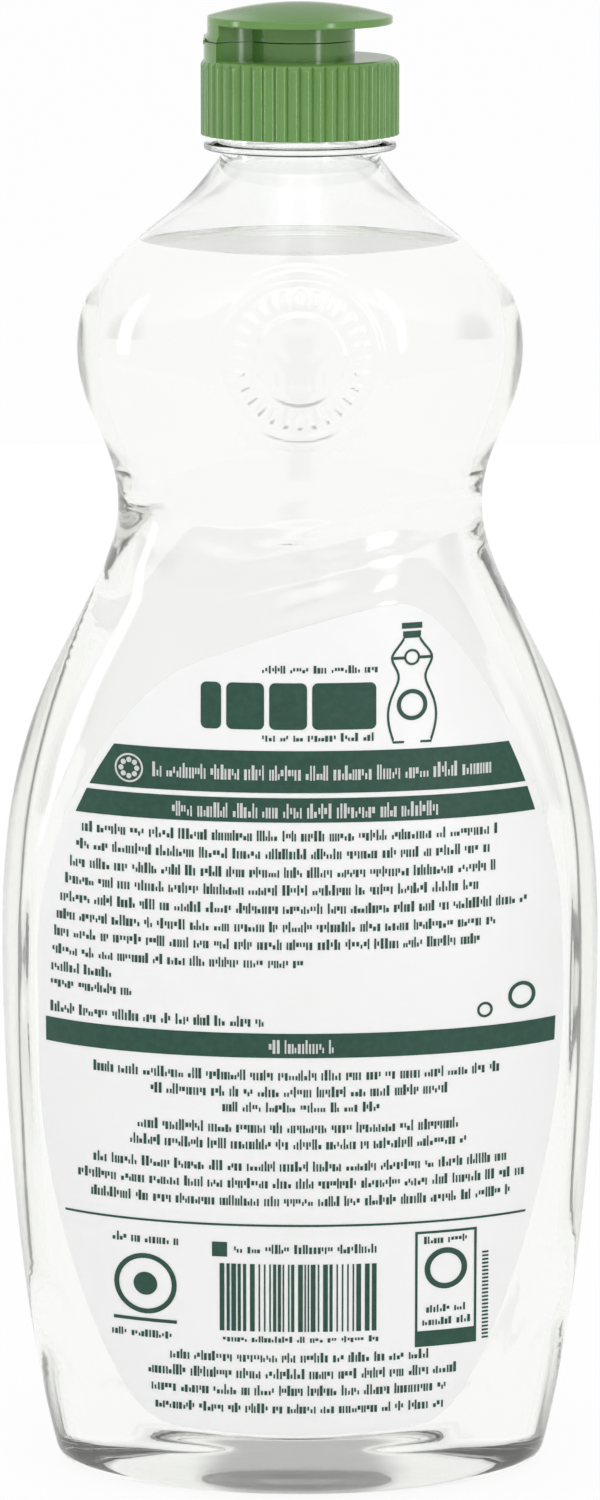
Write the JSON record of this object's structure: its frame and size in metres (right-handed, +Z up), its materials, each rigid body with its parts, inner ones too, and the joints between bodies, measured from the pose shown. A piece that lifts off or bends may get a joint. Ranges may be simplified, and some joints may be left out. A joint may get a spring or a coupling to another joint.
{
  "type": "dish soap bottle",
  "caption": "Waisted clear bottle of dish soap with two film labels and a ribbed flip-top screw cap that unscrews and opens.",
  "frame": {"origin": "centre of the base, on the plane that the bottle stands on", "axes": "+Z up along the neck, the back label faces -Y, the lid's hinge is at -X"},
  "size_m": [0.0954, 0.0564, 0.2357],
  "materials": {
    "clear_plastic": "gloss",
    "soap": "gloss",
    "label_film": "satin",
    "label_ink": "satin",
    "liner_foam": "matte",
    "cap_plastic": "satin"
  },
  "bodies": {
    "bottle": {"bottle": "clear_plastic", "liquid_soap": "soap", "back_label": "label_film", "back_label_print": "label_ink", "front_label": "label_film", "front_label_print": "label_ink"},
    "liner": {"cap_liner": "liner_foam"},
    "cap": {"cap": "cap_plastic"},
    "lid": {"flip_lid": "cap_plastic"}
  },
  "joints": [
    {"name": "cap_lift", "type": "slide", "parent": "bottle", "child": "liner", "axis": [0, 0, 1], "range_m": [0, 0.0127]},
    {"name": "cap_turn", "type": "hinge", "parent": "liner", "child": "cap", "pos_m": [0, 0, 0.2202], "axis": [0, 0, 1], "range_deg": [0, 1080]},
    {"name": "lid_hinge", "type": "hinge", "parent": "cap", "child": "lid", "pos_m": [-0.0151, 0, 0.22984], "axis": [0, -1, 0], "range_deg": [0, 135]}
  ],
  "couplings": [
    {"joint": "cap_lift", "follows": "cap_turn", "m_per_rad": 0.0006737}
  ]
}
